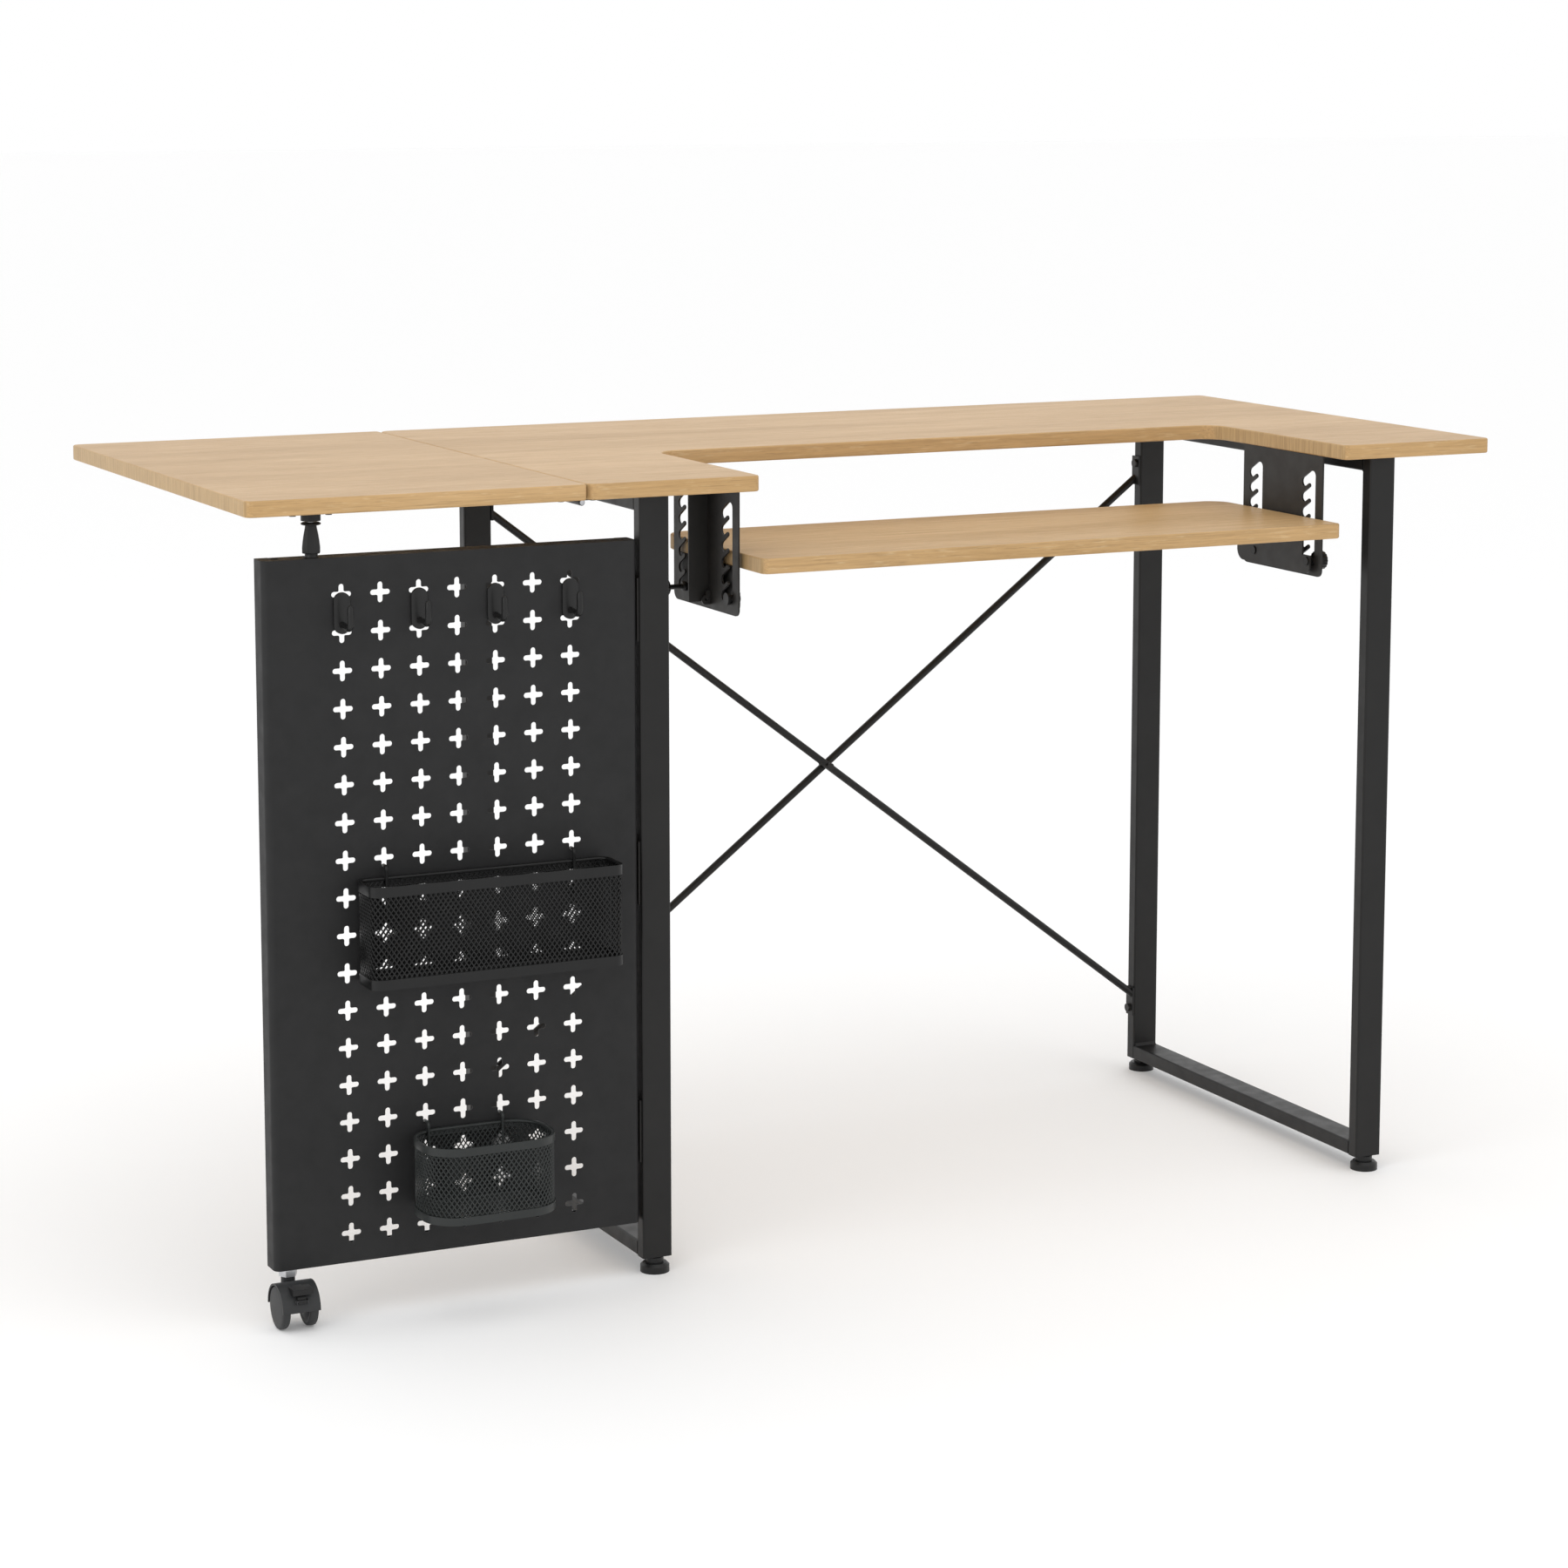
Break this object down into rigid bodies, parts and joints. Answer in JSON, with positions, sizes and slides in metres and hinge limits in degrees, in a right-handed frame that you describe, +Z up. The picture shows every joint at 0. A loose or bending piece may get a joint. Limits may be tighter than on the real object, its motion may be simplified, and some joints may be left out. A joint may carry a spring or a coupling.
{
  "type": "sewing table",
  "caption": "Sewing table with a cut-out top and lift platform, a drop leaf over a swing-out perforated panel on a caster, hooks, hanging baskets and a braced tube frame.",
  "frame": {"origin": "on the floor under the centre of the bounding box, baskets included", "axes": "+X to the sitter's right, +Y to the back of the table, +Z up; the cut-out and the hooks face -Y"},
  "size_m": [1.33, 0.632, 0.762],
  "materials": {
    "top_board": "satin clear finish on light oak",
    "black_metal": "fine matt powder coat",
    "grey_metal": "fine matt powder coat",
    "zinc_steel": "zinc plated",
    "black_plastic": "moulded, slightly textured"
  },
  "bodies": {
    "frame": {"main_top": "top_board", "drop_leaf": "top_board", "leaf_hinge_main": "grey_metal", "leaf_hinge_leaf": "grey_metal", "leaf_hinge_pins": "zinc_steel", "front_left_leg": "black_metal", "front_right_leg": "black_metal", "rear_left_leg": "black_metal", "rear_right_leg": "black_metal", "left_top_rail": "black_metal", "right_top_rail": "black_metal", "left_bottom_rail": "black_metal", "right_bottom_rail": "black_metal", "wood_screws": "zinc_steel", "rail_screws": "grey_metal", "foot_inserts": "black_plastic", "brace_rod_a": "black_metal", "brace_rod_b": "black_metal", "brace_screws": "grey_metal", "left_notch_plate": "grey_metal", "right_notch_plate": "grey_metal", "panel_hinge_leg": "grey_metal", "panel_hinge_pins": "zinc_steel", "pin_receiver": "black_metal"},
    "platform": {"platform_board": "top_board", "left_slide_plate": "grey_metal", "right_slide_plate": "grey_metal", "slide_studs": "zinc_steel", "platform_screws": "zinc_steel"},
    "left_knob": {"left_clamp_knob": "black_plastic"},
    "right_knob": {"right_clamp_knob": "black_plastic"},
    "panel": {"panel_sheet": "grey_metal", "panel_left_edge": "grey_metal", "panel_right_edge": "grey_metal", "panel_top_edge": "grey_metal", "panel_bottom_edge": "grey_metal", "panel_hinge_panel": "grey_metal", "lock_housing": "black_plastic", "peg_hooks": "grey_metal", "caster_stem": "zinc_steel", "caster_nut": "zinc_steel"},
    "pin": {"lock_pin": "zinc_steel"},
    "large_basket_body": {"large_basket": "black_metal", "large_basket_bands": "black_metal", "large_basket_wires": "black_metal"},
    "small_basket_body": {"small_basket": "black_metal", "small_basket_bands": "black_metal", "small_basket_wires": "black_metal"},
    "swivel": {"caster_hood": "black_plastic", "caster_axle": "zinc_steel", "caster_lever_pin": "zinc_steel"},
    "wheel_left": {"caster_left_wheel": "black_plastic"},
    "wheel_right": {"caster_right_wheel": "black_plastic"},
    "brake": {"caster_brake_lever": "black_plastic"},
    "foot_front_left": {"front_left_foot": "black_plastic"},
    "foot_front_right": {"front_right_foot": "black_plastic"},
    "foot_rear_left": {"rear_left_foot": "black_plastic"},
    "foot_rear_right": {"rear_right_foot": "black_plastic"}
  },
  "joints": [
    {"name": "platform_lift", "type": "slide", "parent": "frame", "child": "platform", "axis": [0, 0, 1], "range_m": [0, 0.088]},
    {"name": "left_knob_turn", "type": "hinge", "parent": "platform", "child": "left_knob", "pos_m": [-0.19, -0.087, 0.638], "axis": [-1, 0, 0], "continuous": true},
    {"name": "right_knob_turn", "type": "hinge", "parent": "platform", "child": "right_knob", "pos_m": [0.498, -0.187, 0.638], "axis": [1, 0, 0], "continuous": true},
    {"name": "panel_swing", "type": "hinge", "parent": "frame", "child": "panel", "pos_m": [-0.2855, -0.2047, 0.39], "axis": [0, 0, 1], "range_deg": [-84, 0]},
    {"name": "lock_pin_slide", "type": "slide", "parent": "panel", "child": "pin", "axis": [0, 0, 1], "range_m": [0, 0.008]},
    {"name": "large_basket_lift", "type": "slide", "parent": "panel", "child": "large_basket_body", "axis": [0, 0, 1], "range_m": [0, 0.01]},
    {"name": "small_basket_lift", "type": "slide", "parent": "panel", "child": "small_basket_body", "axis": [0, 0, 1], "range_m": [0, 0.01]},
    {"name": "caster_swivel", "type": "hinge", "parent": "panel", "child": "swivel", "pos_m": [-0.6305, -0.222, 0.04], "axis": [0, 0, 1], "continuous": true},
    {"name": "caster_left_roll", "type": "hinge", "parent": "swivel", "child": "wheel_left", "pos_m": [-0.644, -0.239, 0.02], "axis": [1, 0, 0], "continuous": true},
    {"name": "caster_right_roll", "type": "hinge", "parent": "swivel", "child": "wheel_right", "pos_m": [-0.617, -0.239, 0.02], "axis": [1, 0, 0], "continuous": true},
    {"name": "brake_lever_tilt", "type": "hinge", "parent": "swivel", "child": "brake", "pos_m": [-0.6305, -0.26191, 0.03], "axis": [1, 0, 0], "range_deg": [0, 25]},
    {"name": "front_left_foot_screw", "type": "slide", "parent": "frame", "child": "foot_front_left", "axis": [0, 0, -1], "range_m": [0, 0.008]},
    {"name": "front_right_foot_screw", "type": "slide", "parent": "frame", "child": "foot_front_right", "axis": [0, 0, -1], "range_m": [0, 0.008]},
    {"name": "rear_left_foot_screw", "type": "slide", "parent": "frame", "child": "foot_rear_left", "axis": [0, 0, -1], "range_m": [0, 0.008]},
    {"name": "rear_right_foot_screw", "type": "slide", "parent": "frame", "child": "foot_rear_right", "axis": [0, 0, -1], "range_m": [0, 0.008]}
  ]
}
